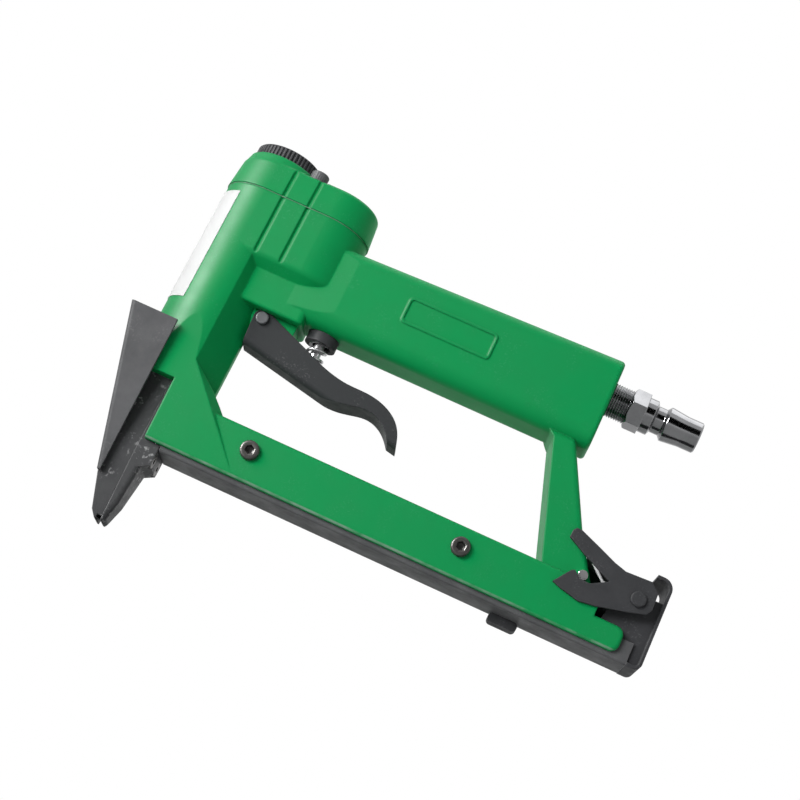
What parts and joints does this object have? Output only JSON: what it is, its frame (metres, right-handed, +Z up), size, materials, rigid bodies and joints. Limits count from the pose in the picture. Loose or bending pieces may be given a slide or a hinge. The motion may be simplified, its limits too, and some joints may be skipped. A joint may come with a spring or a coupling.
{
  "type": "pneumatic picture frame nailer",
  "caption": "Hand-held air nailer that drives flat points into picture frames, with a D-shaped grip, trigger, sliding magazine, latch, hooded nose and quick-connect air plug.",
  "frame": {"origin": "middle of the muzzle's lower face, on the drive axis", "axes": "+Z up along the drive axis, +X from the nose to the rear, +Y to the tool's left as it is held"},
  "size_m": [0.216, 0.0398, 0.1546],
  "materials": {
    "green_paint": "satin paint on die casting",
    "black_steel": "black oxide",
    "dark_fasteners": "dark oxide",
    "bright_steel": "bright",
    "chromed_plug": "polished",
    "aluminium": "turned",
    "rubber": "matte",
    "pusher_plastic": "moulded",
    "blank_label": "blank sticker"
  },
  "bodies": {
    "housing": {"body_housing": "green_paint", "cylinder_cap": "green_paint", "cap_gasket": "rubber", "cap_screws": "dark_fasteners", "deflector_screw": "dark_fasteners", "cylinder_sleeve": "bright_steel", "sleeve_o_rings": "rubber", "bumper": "rubber", "main_valve_spring": "bright_steel", "trigger_pin": "dark_fasteners", "trigger_valve_body": "black_steel", "trigger_spring": "bright_steel", "air_plug": "chromed_plug", "nose_front_plate": "black_steel", "nose_back_plate": "black_steel", "nose_screws": "dark_fasteners", "nose_guard": "black_steel", "guard_screw": "dark_fasteners", "guide_rail": "black_steel", "rail_screws": "dark_fasteners", "latch_pins": "bright_steel", "label": "blank_label"},
    "deflector": {"exhaust_deflector": "black_steel"},
    "drive_piston": {"piston": "aluminium", "piston_ring": "rubber", "driver_blade": "bright_steel"},
    "spool": {"main_valve": "aluminium", "main_valve_ring": "rubber"},
    "trigger_lever": {"trigger": "black_steel"},
    "stem": {"valve_stem": "bright_steel"},
    "magazine": {"magazine_channel": "black_steel", "end_bracket": "black_steel", "stop_tab": "black_steel", "latch_rivet": "black_steel"},
    "feeder": {"pusher": "pusher_plastic", "feed_spring": "bright_steel", "feed_spring_pin": "bright_steel"},
    "latch_lever": {"latch": "black_steel", "latch_spring": "bright_steel"}
  },
  "joints": [
    {"name": "deflector_turn", "type": "hinge", "parent": "housing", "child": "deflector", "pos_m": [0, 0, 0.152], "axis": [0, 0, 1], "continuous": true},
    {"name": "piston_slide", "type": "slide", "parent": "housing", "child": "drive_piston", "axis": [0, 0, -1], "range_m": [0, 0.047]},
    {"name": "spool_slide", "type": "slide", "parent": "housing", "child": "spool", "axis": [0, 0, 1], "range_m": [0, 0.003], "stiffness_N_per_m": 800, "springref_m": -0.004, "deforming": ["main_valve_spring"]},
    {"name": "trigger_swing", "type": "hinge", "parent": "housing", "child": "trigger_lever", "pos_m": [0.0193, 0, 0.0915], "axis": [0, -1, 0], "range_deg": [0, 11], "stiffness_Nm_per_rad": 0.2, "springref_deg": -20.05},
    {"name": "stem_slide", "type": "slide", "parent": "housing", "child": "stem", "axis": [0, 0, 1], "range_m": [0, 0.0044], "deforming": ["trigger_spring"]},
    {"name": "magazine_slide", "type": "slide", "parent": "housing", "child": "magazine", "axis": [1, 0, 0], "range_m": [0, 0.095]},
    {"name": "feeder_slide", "type": "slide", "parent": "magazine", "child": "feeder", "axis": [-1, 0, 0], "range_m": [0, 0.118]},
    {"name": "latch_swing", "type": "hinge", "parent": "magazine", "child": "latch_lever", "pos_m": [0.1826, 0, 0.0521], "axis": [0, -1, 0], "range_deg": [0, 6.5], "stiffness_Nm_per_rad": 0.08, "springref_deg": -22.92}
  ],
  "couplings": [
    {"joint": "stem_slide", "follows": "trigger_swing", "m_per_rad": 0.0228}
  ]
}
